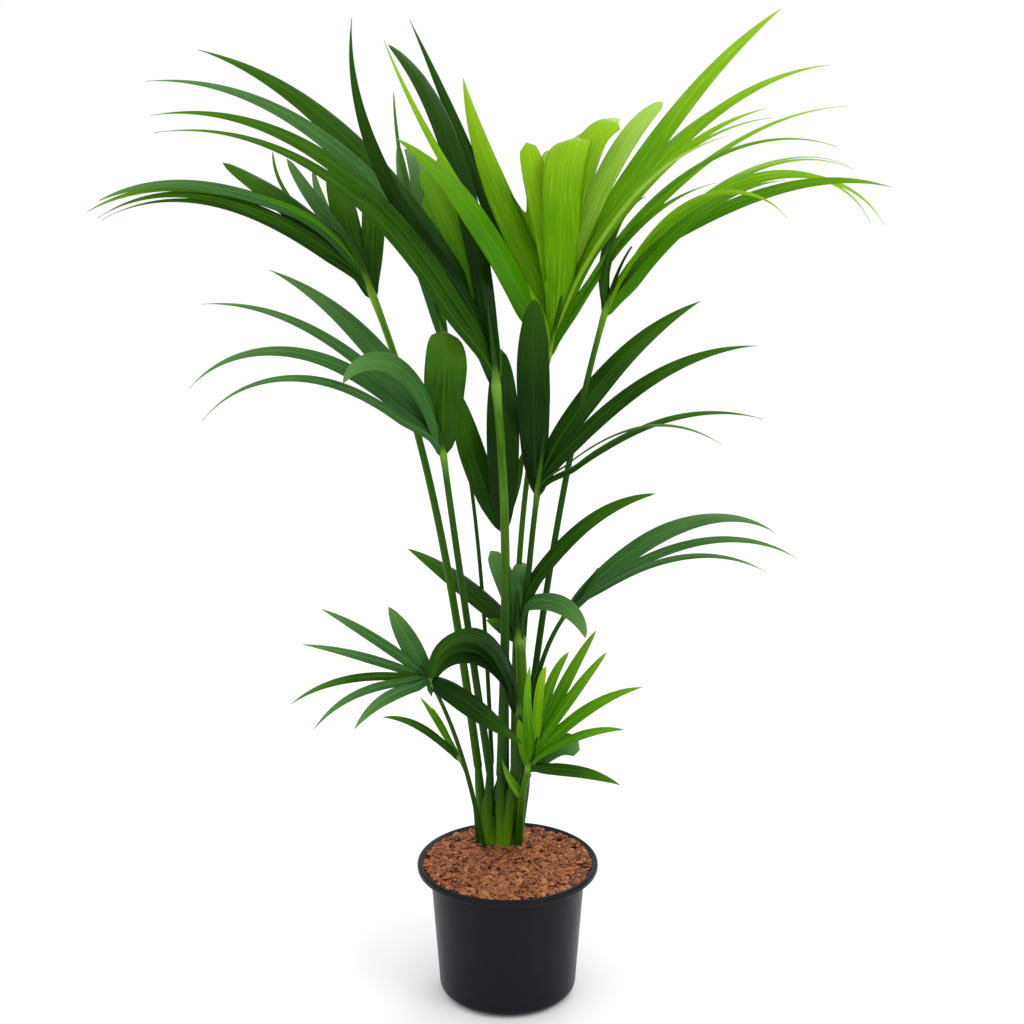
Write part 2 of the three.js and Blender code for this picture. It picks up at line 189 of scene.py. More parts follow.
def coat(tree, settings, links):
    shader = addNode(tree, "ShaderNodeBsdfPrincipled", settings, links)
    addNode(tree, "ShaderNodeOutputMaterial", links={"Surface": shader.outputs[0]})


# what leaf and rind have in common: a clouded colour, streaks that run lengthwise, and how far out a
# point lies
def growingSkin(name, finish, body, shade):
    material, tree = newMaterial(name)
    place = addNode(tree, "ShaderNodeTexCoord").outputs
    outward = addNode(tree, "ShaderNodeAttribute", {"attribute_name": "outward"}).outputs["Fac"]
    drawn = lengthwise(tree, place["UV"], finish["streakStretch"])
    streaks = clouds(tree, drawn, finish["spacing"] * millimetre, *finish["streakGrain"])
    colour = blend(tree, clouds(tree, place["Object"], finish["cloudSize"] * mm), body, shade)
    return material, tree, place["UV"], outward, streaks, colour


# a wave texture's scale for bands a given distance apart
def bandScale(spacing):
    return 2 * math.pi / (20 * spacing)


# living palm leaf, waxed by its own cuticle: satin, with fine veins along it and a paler midrib. Its foot
# is darkened by painted shade from the crown above, and its tip is yellower and brightened by painted
# light shining through it
leafFinish = {
    "spacing": 3.4,  # true veins are 1 mm apart, too fine to show
    "veinDepth": 0.25,
    "veinStrength": 0.7,
    "streakStretch": 0.06,
    "streakGrain": (3, 0.6),
    "dullStreaks": (0.5, 0.28),  # values of the streaks' pattern between which they come in
    "brightStreaks": (0.54, 0.8),
    "dullShare": 0.9,
    # over these shares of its length the tip goes over to a yellower colour, brightened by painted light
    # shining through it
    "tip": (0.55, 0.95),  # shares of the leaflet's length
    "tipGlow": 0.45,
    # painted shade on the leaflet's foot, cast by the crown above, fades out over these shares of its length
    "foot": (0.05, 0.55),
    "midribWidths": (0.33, 1.1),
    "midribShare": 0.22,
    "cloudSize": 60,
    "coat": {"IOR": 1.45, "Specular IOR Level": 0.07},
}


def livingLeaf(name, body, shade, midrib, roughness, streakShare, footShade):
    material, tree, spot, outward, streaks, colour = growingSkin(name, leafFinish, body, shade)
    scale = bandScale(leafFinish["spacing"] * millimetre)
    bands = {"bands_direction": "X", "Scale": scale, "Distortion": 0.4, "Detail": 1}
    veins = addNode(tree, "ShaderNodeTexWave", bands, {"Vector": spot})
    dull = ramp(tree, streaks, leafFinish["dullStreaks"], (0, leafFinish["dullShare"]))
    colour = blend(tree, dull, colour, shade)
    bright = ramp(tree, streaks, leafFinish["brightStreaks"], (0, streakShare))
    colour = blend(tree, bright, colour, midrib)
    # a yellower tip, brightened by painted light shining through the leaflet
    tipLight = ramp(tree, outward, leafFinish["tip"], (0, leafFinish["tipGlow"]))
    colour = blend(tree, tipLight, colour, midrib)
    # painted shade: the leaflet's foot goes over to the shade colour, as if shaded by the crown above
    inner = ramp(tree, outward, leafFinish["foot"], (footShade, 0))
    colour = blend(tree, inner, colour, shade)
    side = addNode(tree, "ShaderNodeSeparateXYZ", links={"Vector": spot})
    distance = addNode(tree, "ShaderNodeMath", {"operation": "ABSOLUTE"}, {0: side.outputs["X"]})
    widths = [width * millimetre for width in leafFinish["midribWidths"]]
    middle = ramp(tree, distance.outputs[0], widths, (leafFinish["midribShare"], 0))
    colour = blend(tree, middle, colour, midrib)
    normal = relief(tree, veins.outputs["Fac"], leafFinish["veinStrength"], leafFinish["veinDepth"])
    settings = {"Roughness": roughness, **leafFinish["coat"]}
    coat(tree, settings, {"Base Color": colour, "Normal": normal})
    return material


# petioles and sheaths: smooth green rind over long fibres, which show as pale lengthwise streaks. It is
# brightest on the sheaths near the mix, and darkest where a petiole leaves its sheath: painted shade
# under the crown, which fades down the sheath and up the petiole. It is brighter again at the neck, and
# past it as dark as the leaflets beside it. Places along it are -1 at the sheath's foot, 0 at the
# petiole's, 1 at the neck and 2 at the tip of the rachis.
rindFinish = {
    "spacing": 3.5,
    "fibreDepth": 0.3,
    "fibreStrength": 0.4,
    "streakStretch": 0.03,
    "streakGrain": (4, 0.65),
    "streaks": (0.48, 0.72),
    "streakShare": 0.5,
    "sheathGreen": "#578c08",
    "sheathed": (-0.2, -0.9),
    "leavesSheath": (-0.9, -0.1),
    "darkShare": 0.85,
    "neck": (0.93, 1),
    "neckGlow": 0.65,
    "pastNeck": (1.02, 1.3),
    "cloudSize": 70,
    "coat": {"Roughness": 0.4, "IOR": 1.45, "Specular IOR Level": 0.12},
}


# the last argument is the stretch of the petiole over which the painted shade on its foot fades out to its
# own colour
def greenRind(name, body, streakColour, shade, shadeFading):
    material, tree, _, outward, fibre, colour = growingSkin(name, rindFinish, body, shade)
    sheathed = ramp(tree, outward, rindFinish["sheathed"], (0, 1))
    colour = blend(tree, sheathed, colour, rindFinish["sheathGreen"])
    pale = ramp(tree, fibre, rindFinish["streaks"], (0, rindFinish["streakShare"]))
    colour = blend(tree, pale, colour, streakColour)
    # painted shade under the crown, darkest where a petiole leaves its sheath
    below = ramp(tree, outward, rindFinish["leavesSheath"], (0, rindFinish["darkShare"]))
    above = ramp(tree, outward, shadeFading, (rindFinish["darkShare"], 0))
    low = addNode(tree, "ShaderNodeMath", {"operation": "MINIMUM"}, {0: below, 1: above})
    colour = blend(tree, low.outputs[0], colour, shade)
    near = ramp(tree, outward, rindFinish["neck"], (0, rindFinish["neckGlow"]))
    colour = blend(tree, near, colour, streakColour)
    beyond = ramp(tree, outward, rindFinish["pastNeck"], (0, 1))
    colour = blend(tree, beyond, colour, shade)
    normal = relief(tree, fibre, rindFinish["fibreStrength"], rindFinish["fibreDepth"])
    coat(tree, rindFinish["coat"], {"Base Color": colour, "Normal": normal})
    return material


# polypropylene, injection moulded from a spark-eroded tool: a fine even grain under a soft sheen
potFinish = {
    "body": "#131318",
    "scuffed": "#18181e",
    "grainSize": 1.6,
    "grainDepth": 0.15,
    "grainStrength": 0.12,
    "scuffSize": 45,
    "scuffs": (0.3, 0.7),
    "roughness": (0.3, 0.38),
    "coat": {"IOR": 1.49, "Specular IOR Level": 0.1},
}


def mouldedPolypropylene():
    material, tree = newMaterial("mouldedPolypropylene")
    place = addNode(tree, "ShaderNodeTexCoord").outputs["Object"]
    grain = clouds(tree, place, potFinish["grainSize"] * mm, detail=3, roughness=0.7)
    scuff = clouds(tree, place, potFinish["scuffSize"] * mm, detail=5, roughness=0.6)
    links = {
        "Base Color": blend(tree, scuff, potFinish["body"], potFinish["scuffed"]),
        "Roughness": ramp(tree, scuff, potFinish["scuffs"], potFinish["roughness"]),
        "Normal": relief(tree, grain, potFinish["grainStrength"], potFinish["grainDepth"]),
    }
    coat(tree, potFinish["coat"], links)
    return material


# composted bark and coir, chipped: dull broken faces with darker pores
barkFinish = {
    "grainSize": 2.5,
    "grainDepth": 0.6,
    "grainStrength": 0.6,
    "pores": (0.42, 0.68),
    "poreShare": 0.85,
    "coat": {"Roughness": 0.85, "IOR": 1.4},
}


def chippedBark(name, body, pore):
    material, tree = newMaterial(name)
    place = addNode(tree, "ShaderNodeTexCoord").outputs["Object"]
    grain = clouds(tree, place, barkFinish["grainSize"] * mm, detail=4, roughness=0.7)
    pores = ramp(tree, grain, barkFinish["pores"], (0, barkFinish["poreShare"]))
    links = {
        "Base Color": blend(tree, pores, body, pore),
        "Normal": relief(tree, grain, barkFinish["grainStrength"], barkFinish["grainDepth"]),
    }
    coat(tree, barkFinish["coat"], links)
    return material


# tones of living leaf: body, shade, midrib, roughness, how strongly the midrib's colour streaks it, and
# how far its foot goes over to the shade colour as painted shade from the crown
leafTones = {
    # this tone is a dark green deepened further by painted shadow
    "deep": ("#183c04", "#0d2802", "#35640c", 0.34, 0.3, 0.8),
    "dark": ("#275404", "#123402", "#4c8210", 0.35, 0.3, 0.95),
    "mid": ("#325f0b", "#1a4003", "#5b901a", 0.36, 0.28, 0.9),
    # this tone is a leaf green with a painted bluish-grey sheen on its waxed top
    "paintedSheen": ("#426f34", "#2a5622", "#6d9a50", 0.36, 0.25, 0.85),
    "fresh": ("#4c8a04", "#357002", "#82b41c", 0.38, 0.4, 0.7),
    "lime": ("#6ea604", "#508a00", "#a6ce24", 0.4, 0.6, 0.5),
    # this tone is the young frond's palest lime, partly lightened by painted light shining through it
    "pale": ("#8cba38", "#70a41c", "#b8d868", 0.42, 0.6, 0.5),
}
leaf = {
    name: livingLeaf("livingLeaf" + name.capitalize(), *tone) for name, tone in leafTones.items()
}
toneOrder = list(leafTones)

# tones of rind: body, streaks, shade, and where the painted shade on the petiole fades out. The fore one
# comes out of it lowest down.
rindTones = {
    "deep": ("#2f5a08", "#548420", "#183a06", (0.7, 1)),
    "mid": ("#3f7008", "#709e28", "#1b4004", (0.8, 1)),
    "light": ("#5a9208", "#8cba34", "#285604", (0.7, 0.92)),
    "fore": ("#45780a", "#7aa834", "#1d4404", (0.42, 0.75)),
}
rind = {name: greenRind("greenRind" + name.capitalize(), *tone) for name, tone in rindTones.items()}
rindOrder = list(rindTones)
print("materials made")

# ---- fronds

# A heading runs anticlockwise from +X seen from above, and a rise is measured up from level, in degrees.
# Lengths are in millimetres. Columns of a leaflet: share of the rachis where it starts, heading,
# rise there, rise at its tip, length, greatest width, roll about its own length, how far its tip
# leans to the back, the share of its length where it is widest, tone.
fronds = {
    "outer_left_frond": {
        "foot": (-45, 66, 333),
        "petiole": {"rise": (156, 82), "neck": (170, 69), "length": 725, "thick": 12, "rind": "light"},
        "rachis": {"tip": (-159, 36), "length": 145},
        "leaflets": [
            (0.1, 88, 54, 62, 175, 34, 0, 0, 0.6, "mid"),
            (0.22, 115, 39, 90, 185, 38, 0, 0, 0.6, "mid"),
            (0.4, 122, 24, 75, 185, 18, 20, 60, 0.4, "paintedSheen"),
            (0.5, 141, 40, 51, 175, 20, 10, 40, 0.4, "paintedSheen"),
            (0.6, 151, 21, 91, 185, 8, 60, 0, 0.4, "mid"),
            (0.45, 177, 38, 28, 225, 34, 0, -30, 0.4, "dark"),
            (0.75, -168, 25, -26, 345, 18, 0, 0, 0.3, "paintedSheen"),
            (0.85, -164, 21, -30, 350, 12, 20, 40, 0.3, "fresh"),
            (0.25, -158, 37, -32, 410, 18, 15, 90, 0.3, "mid"),
            (0.12, -154, 38, -27, 420, 12, 30, 150, 0.3, "dark"),
        ],
    },
    "front_left_frond": {
        "foot": (-10, 34, 333),
        "petiole": {"rise": (-76, 82), "neck": (-126, 81), "length": 615, "thick": 14, "rind": "fore"},
        "rachis": {"tip": (103, 59), "length": 110},
        "leaflets": [
            (0.0, -156, 60, -7, 615, 18, 20, -100, 0.33, "mid"),
            (0.3, -167, 60, -9, 595, 25, 10, 30, 0.33, "mid"),
            (0.45, -178, 60, -5, 610, 27, 0, 210, 0.33, "paintedSheen"),
            (0.6, 171, 59, 13, 565, 42, 0, 300, 0.33, "dark"),
            (0.8, 150, 44, 97, 470, 25, 0, -210, 0.3, "deep"),
            (0.95, 128, 74, 21, 430, 32, 0, 150, 0.4, "deep"),
            (0.6, 132, 65, 37, 265, 40, 0, 60, 0.5, "fresh"),
        ],
    },
    "rear_left_frond": {
        "foot": (-24, 80, 333),
        "petiole": {"rise": (114, 84), "neck": (160, 76), "length": 640, "thick": 6, "rind": "mid"},
        "rachis": {"tip": (119, 61), "length": 155},
        "leaflets": [
            (0.5, 140, 70, 10, 190, 30, 0, 60, 0.4, "paintedSheen"),
            (0.6, 113, 45, 76, 230, 24, 0, 110, 0.4, "paintedSheen"),
            (0.7, 118, 55, 89, 275, 8, 40, 150, 0.4, "mid"),
            (0.8, 100, 75, -20, 235, 30, 0, 100, 0.55, "paintedSheen"),
            (0.9, 60, 70, 10, 200, 34, 0, 60, 0.6, "fresh"),
        ],
    },
    "lime_frond": {
        "foot": (9, 74, 333),
        "petiole": {"rise": (-83, 87), "neck": (-12, 77), "length": 640, "thick": 9, "rind": "light"},
        "rachis": {"tip": (89, 56), "length": 135},
        "webs": [(0, 2, 17, "lime"), (2, 3, 27, "lime")],  # leaflets joined, stations out, tone
        "leaflets": [
            (0.05, -138, 59, 28, 415, 40, 0, -60, 0.4, "fresh"),
            (0.3, -146, 51, 65, 480, 14, 0, 0, 0.4, "lime"),
            (0.45, 142, 55, 75, 360, 40, 0, 60, 0.35, "lime"),
            (0.45, 122, 78, 40, 250, 36, 0, -30, 0.65, "lime"),
            (0.55, 95, 80, -8, 284, 46, 0, 60, 0.7, "lime"),
            (0.62, 88, 82, -10, 290, 56, 0, -110, 0.7, "lime"),
            (0.8, 72, 84, -10, 270, 40, 0, 60, 0.7, "lime"),
            (0.95, 60, 80, 0, 262, 38, 0, -60, 0.65, "lime"),
            (0.95, 72, 52, -7, 355, 28, 0, 90, 0.5, "pale"),
            (0.85, 58, 50, 12, 370, 30, 0, -130, 0.5, "pale"),
            (0.9, 31, 47, 15, 400, 16, 20, 130, 0.3, "lime"),
            (0.75, 33, 52, 28, 535, 30, 0, 150, 0.35, "lime"),
            (0.7, 19, 53, 3, 520, 22, 10, -60, 0.3, "lime"),
            (0.6, 17, 55, 10, 405, 18, 20, -180, 0.3, "lime"),
            (0.55, 9, 58, 4, 405, 10, 30, -90, 0.3, "lime"),
            (0.5, 14, 60, 11, 345, 8, 20, -160, 0.3, "pale"),
            (0.35, 10, 52, 2, 520, 14, 20, 100, 0.3, "lime"),
            (0.25, 3, 59, -20, 505, 12, 30, -200, 0.3, "fresh"),
            (0.08, 10, 60, 11, 335, 14, 15, -120, 0.3, "fresh"),
        ],
    },
    "outer_right_frond": {
        "foot": (23, 76, 333),
        "petiole": {"rise": (-36, 82), "neck": (-16, 75), "length": 710, "thick": 10, "rind": "mid"},
        "rachis": {"tip": (28, 50), "length": 100},
        "leaflets": [
            (0.02, -58, 91, 17, 130, 12, 0, -60, 0.4, "dark"),
            (0.1, 29, 94, 13, 175, 16, 0, 90, 0.4, "mid"),
            (0.4, 21, 45, -23, 420, 12, 20, 180, 0.3, "lime"),
            (0.5, 17, 44, -24, 405, 12, 20, 60, 0.3, "lime"),
            (0.55, 7, 46, -64, 430, 15, 0, 110, 0.3, "lime"),
            (0.6, 0, 44, -61, 430, 12, 10, -60, 0.3, "lime"),
            (0.7, -6, 33, -15, 390, 19, 0, -150, 0.3, "fresh"),
            (0.3, -23, 60, -49, 320, 12, 20, -170, 0.3, "lime"),
            (0.05, -28, 52, 5, 330, 26, 10, -60, 0.3, "fresh"),
        ],
    },
    "middle_right_frond": {
        "foot": (12, 58, 333),
        "petiole": {"rise": (-68, 83), "neck": (-44, 81), "length": 445, "thick": 10, "rind": "deep"},
        "rachis": {"tip": (97, 45), "length": 225},
        "leaflets": [
            (0.02, 103, 82, 81, 270, 46, 0, -100, 0.55, "deep"),
            (0.22, -12, 57, 27, 325, 33, 0, 170, 0.35, "dark"),
            (0.12, -26, 48, 6, 390, 23, 0, 20, 0.35, "dark"),
            (0.0, -37, 39, -7, 405, 13, 10, -90, 0.35, "mid"),
            (0.05, -47, 39, -19, 375, 8, 30, -110, 0.35, "paintedSheen"),
            (0.95, 140, 62, 57, 510, 24, 0, 60, 0.28, "deep"),
        ],
    },
    "middle_left_frond": {
        "foot": (-27, 44, 333),
        "petiole": {"rise": (-119, 76), "neck": (-116, 76), "length": 535, "thick": 11, "rind": "mid"},
        "rachis": {"tip": (133, 60), "length": 50},
        "leaflets": [
            (0.4, 80, 82, 20, 165, 58, 0, -30, 0.6, "mid"),
            (0.7, 171, 54, 20, 320, 32, 0, 170, 0.33, "paintedSheen"),
            (0.5, -175, 48, -4, 380, 16, 10, 80, 0.33, "paintedSheen"),
            (0.3, -163, 47, -48, 400, 20, 0, -30, 0.33, "paintedSheen"),
            (0.1, -152, 42, -47, 390, 12, 20, -130, 0.33, "paintedSheen"),
            (0.9, -147, 67, -60, 200, 30, 0, -70, 0.4, "paintedSheen"),
        ],
    },
    "inner_frond": {
        "foot": (-2, 50, 333),
        "petiole": {"rise": (-90, 82), "neck": (-103, 82), "length": 395, "thick": 8, "rind": "deep"},
        "rachis": {"tip": (88, 78), "length": 45},
        "leaflets": [
            (0.1, 159, 65, 81, 205, 38, 0, 20, 0.5, "dark"),
            (0.5, 93, 98, 42, 245, 46, 0, 40, 0.5, "deep"),
            (0.3, 55, 57, 71, 105, 16, 0, 0, 0.4, "mid"),
        ],
    },
    "lower_right_frond": {
        "foot": (32, 52, 333),
        "petiole": {"rise": (-77, 85), "neck": (-6, 56), "length": 265, "thick": 8, "rind": "deep"},
        "rachis": {"tip": (-30, 59), "length": 85},
        "leaflets": [
            (0.5, 2, 43, -36, 315, 27, 0, 130, 0.33, "paintedSheen"),
            (0.4, -13, 36, -31, 340, 15, 10, -20, 0.33, "paintedSheen"),
            (0.2, -25, 37, -25, 320, 12, 15, -130, 0.33, "paintedSheen"),
        ],
    },
    "lower_inner_frond": {
        "foot": (12, 26, 333),
        "petiole": {"rise": (-34, 84), "neck": (-151, 84), "length": 220, "thick": 18, "rind": "fore"},
        "rachis": {"tip": (78, 70), "length": 75},
        "leaflets": [
            (0.05, 150, 30, -10, 60, 22, 0, 0, 0.4, "mid"),
            (0.2, 138, 24, 9, 240, 30, 0, 60, 0.4, "dark"),
            (0.5, 125, 60, 20, 110, 30, 0, 20, 0.55, "paintedSheen"),
            (0.8, -7, 56, 9, 265, 22, 0, 80, 0.4, "dark"),
            (0.9, 80, 60, 0, 60, 26, 0, 0, 0.55, "paintedSheen"),
            (0.75, -42, 22, -78, 150, 30, 0, -20, 0.35, "paintedSheen"),
        ],
    },
    "lower_left_frond": {
        "foot": (-36, 40, 212),
        "petiole": {"rise": (-115, 70), "neck": (-144, 62), "length": 330, "thick": 7, "rind": "mid"},
        "rachis": {"tip": (174, 52), "length": 30},
        "leaflets": [
            (0.6, 148, 56, 51, 105, 30, 0, 30, 0.4, "paintedSheen"),
            (0.5, -177, 38, 26, 175, 16, 0, 60, 0.4, "paintedSheen"),
            (0.3, -164, 24, 12, 190, 14, 0, 20, 0.4, "paintedSheen"),
            (0.2, -152, 14, -30, 215, 12, 20, -30, 0.4, "mid"),
            (0.1, -139, 11, -42, 210, 12, 20, -70, 0.4, "paintedSheen"),
            (0.0, -125, 8, -34, 175, 19, 0, -40, 0.4, "paintedSheen"),
            (0.3, -20, -29, -33, 165, 32, 0, 0, 0.4, "deep"),
        ],
    },
    "folded_frond": {
        "foot": (30, 30, 333),
        "petiole": {"rise": (-108, 70), "neck": (-108, 70), "length": 125, "thick": 10, "rind": "deep"},
        "rachis": {"tip": (-106, 56), "length": 80},
        "leaflets": [
            (0.3, -152, 74, -100, 225, 34, 0, 0, 0.45, "deep"),
            (0.45, -156, 58, -112, 200, 22, 0, 30, 0.5, "deep"),
            (0.6, -136, 66, -60, 215, 24, 0, -20, 0.4, "deep"),
        ],
    },
    "basal_right_frond": {
        "foot": (16, 46, 212),
        "petiole": {"rise": (-84, 71), "neck": (-50, 70), "length": 153, "thick": 12, "rind": "fore"},
        "rachis": {"tip": (11, 74), "length": 55},
        "leaflets": [
            (0.2, -133, 73, 68, 80, 18, 0, 0, 0.4, "fresh"),
            (0.6, -101, 52, 130, 160, 14, 0, -30, 0.4, "fresh"),
            (0.95, -61, 88, 60, 125, 14, 0, -20, 0.4, "lime"),
            (0.9, 53, 72, 21, 145, 16, 0, 40, 0.4, "fresh"),
            (0.8, 20, 64, 53, 190, 18, 0, 50, 0.4, "fresh"),
            (0.7, 2, 57, 50, 180, 16, 0, 0, 0.4, "fresh"),
            (0.5, -20, 48, 16, 210, 18, 0, 50, 0.4, "fresh"),
            (0.4, -40, 36, 10, 190, 14, 0, -30, 0.4, "fresh"),
            (0.1, -46, 15, -5, 185, 20, 0, -30, 0.4, "mid"),
            (0.08, 0, 50, -30, 92, 36, 0, 0, 0.65, "paintedSheen"),
        ],
    },
    "basal_left_frond": {
        "foot": (-46, 60, 212),
        "petiole": {"rise": (-100, 78), "neck": (-158, 62), "length": 155, "thick": 6, "rind": "fore"},
        "rachis": {"tip": (-155, 65), "length": 25},
        "leaflets": [
            (0.3, -165, 47, 3, 135, 12, 0, 0, 0.4, "mid"),
            (0.8, 146, 53, 39, 90, 10, 0, 0, 0.4, "fresh"),
            (0.9, 117, 30, 24, 80, 8, 0, 0, 0.4, "fresh"),
        ],
    },
}

blade = {
    "face": (-90, 40),  # where a blade faces at its widest
    "rising": 0.7,
    "footRising": 0.5,  # near its foot a leaflet is broad and fused with its neighbours
    "footWidth": 5,
    "footFall": 8,
    "joinShare": 0.2,
    "footReach": 110,
    "footDrop": 4,
    "leanGrowth": 1.3,
    "tipWidth": 0.5,
    "stepLength": 9,
    "fewestSteps": 14,
    "fewestFootSteps": 5,
    "halfColumns": 5,
    "footFold": 50,  # degrees each half droops from the midrib
    "openFold": 14,
    "openBy": 0.3,
    "opening": 0.7,
    "twist": 14,
    "veinRelief": 0.33,
    "veinFullFrom": 8,  # a half narrower than this has shallower veins
    "edgeWave": 0.05,
    "edgeWaves": (1.5, 3),
    "waveShift": 2,  # between one margin's waves and the other's, in radians
    "bluntFrom": 0.5,  # a leaflet widest past this ends blunt, with its tip drawn out to one side
    "bluntest": 0.7,
    "hook": 0.36,  # how far it is drawn out on the bluntest, as a share of the width
    "hookFrom": 0.6,
    "thickness": 0.6,
}
web = {"columns": 6, "notch": 0.14, "margin": 0.9, "outward": 0.3}
stalk = {
    "sides": 14,
    "petioleSteps": 40,
    "rachisSteps": 16,
    "swell": 0.5,
    "neckShare": 0.4,
    "neckKnob": 0.25,
    "neckReach": 0.02,
    "tipRadius": 1.2,
    "groove": 0.2,
    "grooveWidth": 0.55,
    "ridges": 7,
    "ridgeDepth": 0.02,
    "mixBelow": 300,  # a foot lower than this stands in the mix, and a higher one in its sheath
    "mixDepth": 14,
    "sheathDepth": 2,
}


# a leaflet's outline, broader before its widest place than after it
def leafWidth(share, width, widest):
    rising = blade["rising"] if share > widest else blade["footRising"]
    falling = rising * (1 - widest) / widest
    swell = (share / widest) ** rising * ((1 - share) / (1 - widest)) ** falling
    foot = blade["footWidth"] * (1 - share) ** blade["footFall"]
    return max(width * swell + foot, blade["tipWidth"])


# lays a grid as a skin: place gives a column's point at a station, its place on the map, and how far
# out it lies
def clothe(bm, columns, steps, place, tone):
    outward = bm.verts.layers.float.get("outward") or bm.verts.layers.float.new("outward")
    uv = bm.loops.layers.uv.verify()
    grid = bmesh.ops.create_grid(bm, x_segments=columns, y_segments=steps, size=1)["verts"]
    faces = {face for vert in grid for face in vert.link_faces}
    spots = {vert: place(vert.co.x, round((vert.co.y + 1) / 2 * steps)) for vert in grid}
    for face in faces:
        face.material_index = tone
        for loop in face.loops:
            loop[uv].uv = spots[loop.vert][1]
    for vert, (where, _, out) in spots.items():
        vert.co = where
        vert[outward] = out
    return grid


# a leaflet springs from the flank of its rachis, and leans to the back or front on its way out
def leafPath(parts, row, petiole):
    share, leafHeading, rise, tipRise, length, _, _, lean = row[:8]
    first = toward(leafHeading, rise)
    last = toward(leafHeading, tipRise)
    steps = max(blade["fewestSteps"], round(length / blade["stepLength"]))
    path = grow(along(parts["rachis"], share), first, last, length * mm, steps)
    axis = (parts["rachis"][-1] - parts["rachis"][0]).normalized()
    radius = mix(petiole["thick"] * stalk["neckShare"], stalk["tipRadius"], share)
    offset = across(first, axis) * (radius * mm)
    leaned = []
    for i, place in enumerate(path):
        place = place + offset * (1 - i / steps)
        back = (place - viewer).normalized()
        leaned.append(place + back * (lean * mm * (i / steps) ** blade["leanGrowth"]))
    return leaned


# the foot of a leaflet runs down beside its rachis to the neck, where all of them are fused
def gatherFoot(parts, path, row):
    rachis = parts["rachis"]
    rachisLength = (rachis[-1] - rachis[0]).length / mm
    share = max(0, row[0] - blade["footReach"] / rachisLength)
    join = round(blade["joinShare"] * (len(path) - 1))
    low = along(rachis, share) - heading(rachis, 0) * (blade["footDrop"] * mm)
    span = (path[join] - low).length
    down, on = heading(rachis, round(share * (len(rachis) - 1))), heading(path, join)
    steps = max(blade["fewestFootSteps"], round(span / mm / blade["stepLength"]))
    foot = []
    for i in range(steps):  # a smooth curve between two places, each with its own direction
        t = i / steps
        spot = low * (2 * t**3 - 3 * t**2 + 1) + path[join] * (3 * t**2 - 2 * t**3)
        spot += down * (span * (t**3 - 2 * t**2 + t)) + on * (span * (t**3 - t**2))
        foot.append(spot)
    return foot + path[join:], len(foot) - join


def addLeaflet(bm, parts, row, petiole):
    own = leafPath(parts, row, petiole)
    path, added = gatherFoot(parts, own, row)
    leafHeading, length, width, roll, widestShare, tone = (row[i] for i in (1, 4, 5, 6, 8, 9))
    steps = len(path) - 1
    widestStation = added + widestShare * (len(own) - 1)
    chord = own[-1] - own[0]
    level = up.cross(chord).normalized()
    if level.dot(toward(leafHeading + 90, 0)) < 0:
        level = -level
    widest = heading(path, round(widestStation))
    front = across(toward(*blade["face"]), widest)
    lean = math.atan2(front.dot(level), front.dot(widest.cross(level)))
    twist = dice.uniform(-blade["twist"], blade["twist"])
    wavePhase = dice.uniform(0, 6)
    waveCount = dice.uniform(*blade["edgeWaves"])
    bluntness = clamp((widestShare - blade["bluntFrom"]) / (blade["bluntest"] - blade["bluntFrom"]))
    hook = math.copysign(blade["hook"] * width * bluntness, parts["rachis"][0].x)

    def place(column, station):
        share = station / steps
        tangent = heading(path, station)
        normal = tangent.cross(level) * math.cos(lean) + level * math.sin(lean)
        normal = across(normal, tangent)
        turn = Quaternion(tangent, math.radians(-roll - twist * share * share))
        normal = turn @ normal
        side = tangent.cross(normal)
        half = leafWidth(share, width, widestStation / steps) / 2
        opened = clamp(share / blade["openBy"]) ** blade["opening"]
        fold = math.radians(mix(blade["footFold"], blade["openFold"], opened))
        out = abs(column)
        sink = half * out * math.tan(fold)
        vein = blade["veinRelief"] * (round(out * blade["halfColumns"]) % 2)
        vein *= clamp(half / blade["veinFullFrom"]) * (out < 0.99)  # none on the margin
        wave = blade["edgeWave"] * half * out * out
        shift = blade["waveShift"] * (column > 0)
        wave *= math.sin(wavePhase + waveCount * 2 * math.pi * share + shift)
        drawn = clamp((share - blade["hookFrom"]) / (1 - blade["hookFrom"])) ** 2
        aside = column * half + hook * drawn
        where = path[station] + side * (aside * mm) + normal * ((vein + wave - sink) * mm)
        return where, (column * half * millimetre, share * length * millimetre), share

    clothe(bm, 2 * blade["halfColumns"], steps, place, toneOrder.index(tone))
    return place


# young leaflets stay fused for some way past the neck: a web joins the near margins of two of them
def addWeb(bm, left, right, stations, tone):
    def margin(place, column, station):
        whole = int(station)
        return place(column, whole)[0].lerp(place(column, whole + 1)[0], station - whole)

    def place(column, station):
        reach = station * (1 - web["notch"] * (1 - column * column))
        ends = margin(left, web["margin"], reach), margin(right, -web["margin"], reach)
        apart = (ends[1] - ends[0]).length / mm
        where = ends[0].lerp(ends[1], (column + 1) / 2)
        on = reach * blade["stepLength"]
        return where, (column * apart / 2 * millimetre, on * millimetre), web["outward"]

    clothe(bm, web["columns"], stations, place, toneOrder.index(tone))


# a closed tube along a path: radius gives its size at a share and an angle, 0 on the side that faces up
# or to the front, and outward gives how far out a share lies
def addTube(bm, path, sides, facing, radius, outward, tone=0):
    steps = len(path) - 1

    def place(column, station):
        angle = math.pi * column
        tangent = heading(path, station)
        normal = across(facing, tangent)
        side = tangent.cross(normal)
        size = radius(station / steps, angle)
        spoke = side * math.sin(angle) + normal * math.cos(angle)
        length = (path[station] - path[0]).length / mm
        where = path[station] + spoke * (size * mm)
        return where, (angle * size * millimetre, length * millimetre), outward(station / steps)

    verts = clothe(bm, sides, steps, place, tone)
    bmesh.ops.remove_doubles(bm, verts=verts, dist=0.002 * mm)
    edges = [edge for edge in bm.edges if edge.is_boundary]
    bmesh.ops.holes_fill(bm, edges=edges, sides=0)


